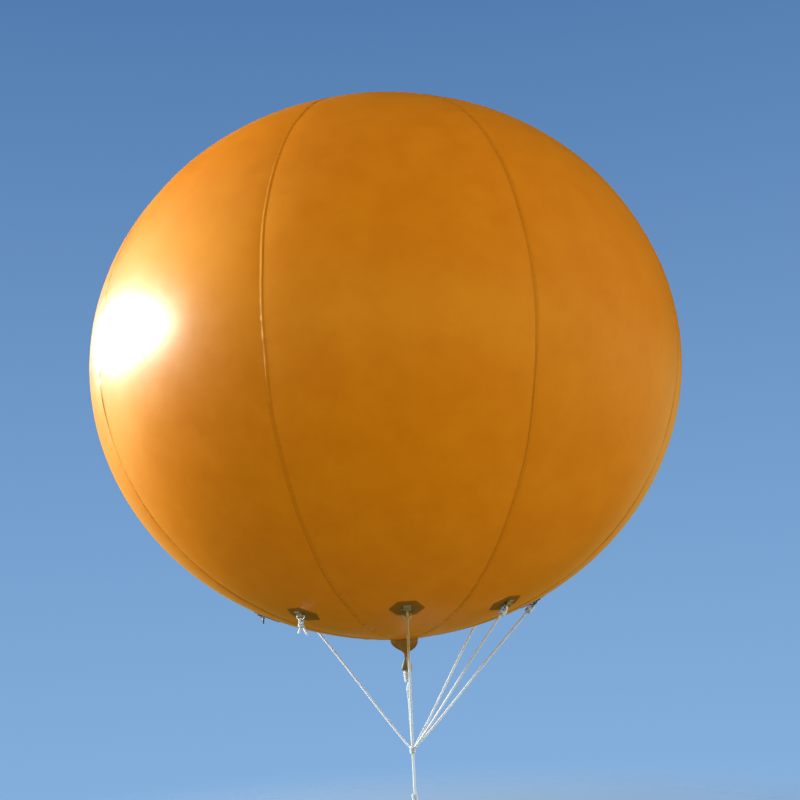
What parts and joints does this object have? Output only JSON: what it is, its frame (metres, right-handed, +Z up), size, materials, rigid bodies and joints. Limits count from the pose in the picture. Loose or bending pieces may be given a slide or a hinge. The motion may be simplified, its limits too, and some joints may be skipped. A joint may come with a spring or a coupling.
{
  "type": "round advertising balloon",
  "caption": "Round gored helium advertising balloon with hexagonal load patches, steel D-rings, tied filling neck, rope bridle and a tether tail with an eye.",
  "frame": {"origin": "centre of the envelope, where its lift acts", "axes": "+Z up along the balloon's axis, -Y towards load patch 1, +X towards load patch 3"},
  "size_m": [1.9968, 1.9968, 2.4813],
  "materials": {
    "envelope_pvc": "glossy orange PVC film, welded at the seams",
    "patch_pvc": "satin dark brown reinforced PVC",
    "neck_pvc": "gathered orange PVC film, creased",
    "webbing": "woven khaki polyester webbing",
    "ring_steel": "welded round wire, bright",
    "rope": "laid white polyester rope"
  },
  "bodies": {
    "balloon": {"gore_1": "envelope_pvc", "gore_2": "envelope_pvc", "gore_3": "envelope_pvc", "gore_4": "envelope_pvc", "gore_5": "envelope_pvc", "gore_6": "envelope_pvc", "gore_7": "envelope_pvc", "gore_8": "envelope_pvc", "crown_disc": "envelope_pvc", "neck_disc": "envelope_pvc", "load_patch_1": "patch_pvc", "load_patch_2": "patch_pvc", "load_patch_3": "patch_pvc", "load_patch_4": "patch_pvc", "load_patch_5": "patch_pvc", "load_patch_6": "patch_pvc", "load_patch_7": "patch_pvc", "load_patch_8": "patch_pvc", "load_tab_1": "webbing", "load_tab_2": "webbing", "load_tab_3": "webbing", "load_tab_4": "webbing", "load_tab_5": "webbing", "load_tab_6": "webbing", "load_tab_7": "webbing", "load_tab_8": "webbing", "load_ring_1": "ring_steel", "load_ring_2": "ring_steel", "load_ring_3": "ring_steel", "load_ring_4": "ring_steel", "load_ring_6": "ring_steel", "bridle_leg_1": "rope", "bridle_leg_2": "rope", "bridle_leg_3": "rope", "bridle_leg_4": "rope", "bridle_leg_6": "rope", "bridle_knot": "rope", "tether_tail": "rope", "neck_sleeve": "neck_pvc", "neck_tail": "neck_pvc", "neck_wraps": "rope", "neck_cord": "rope"},
    "spare_ring": {"load_ring_7": "ring_steel"},
    "rear_ring": {"load_ring_5": "ring_steel"},
    "left_ring": {"load_ring_8": "ring_steel", "rope_stub_8": "rope"}
  },
  "joints": [
    {"name": "spare_ring_swing", "type": "hinge", "parent": "balloon", "child": "spare_ring", "pos_m": [-0.45647, 0, -0.82685], "axis": [0, 1, 0], "range_deg": [-55, 90]},
    {"name": "rear_ring_swing", "type": "hinge", "parent": "balloon", "child": "rear_ring", "pos_m": [0, 0.45647, -0.82685], "axis": [1, 0, 0], "range_deg": [-55, 90]},
    {"name": "left_ring_swing", "type": "hinge", "parent": "balloon", "child": "left_ring", "pos_m": [-0.32277, -0.32277, -0.82685], "axis": [-0.7071, 0.7071, 0], "range_deg": [-40, 75]}
  ]
}
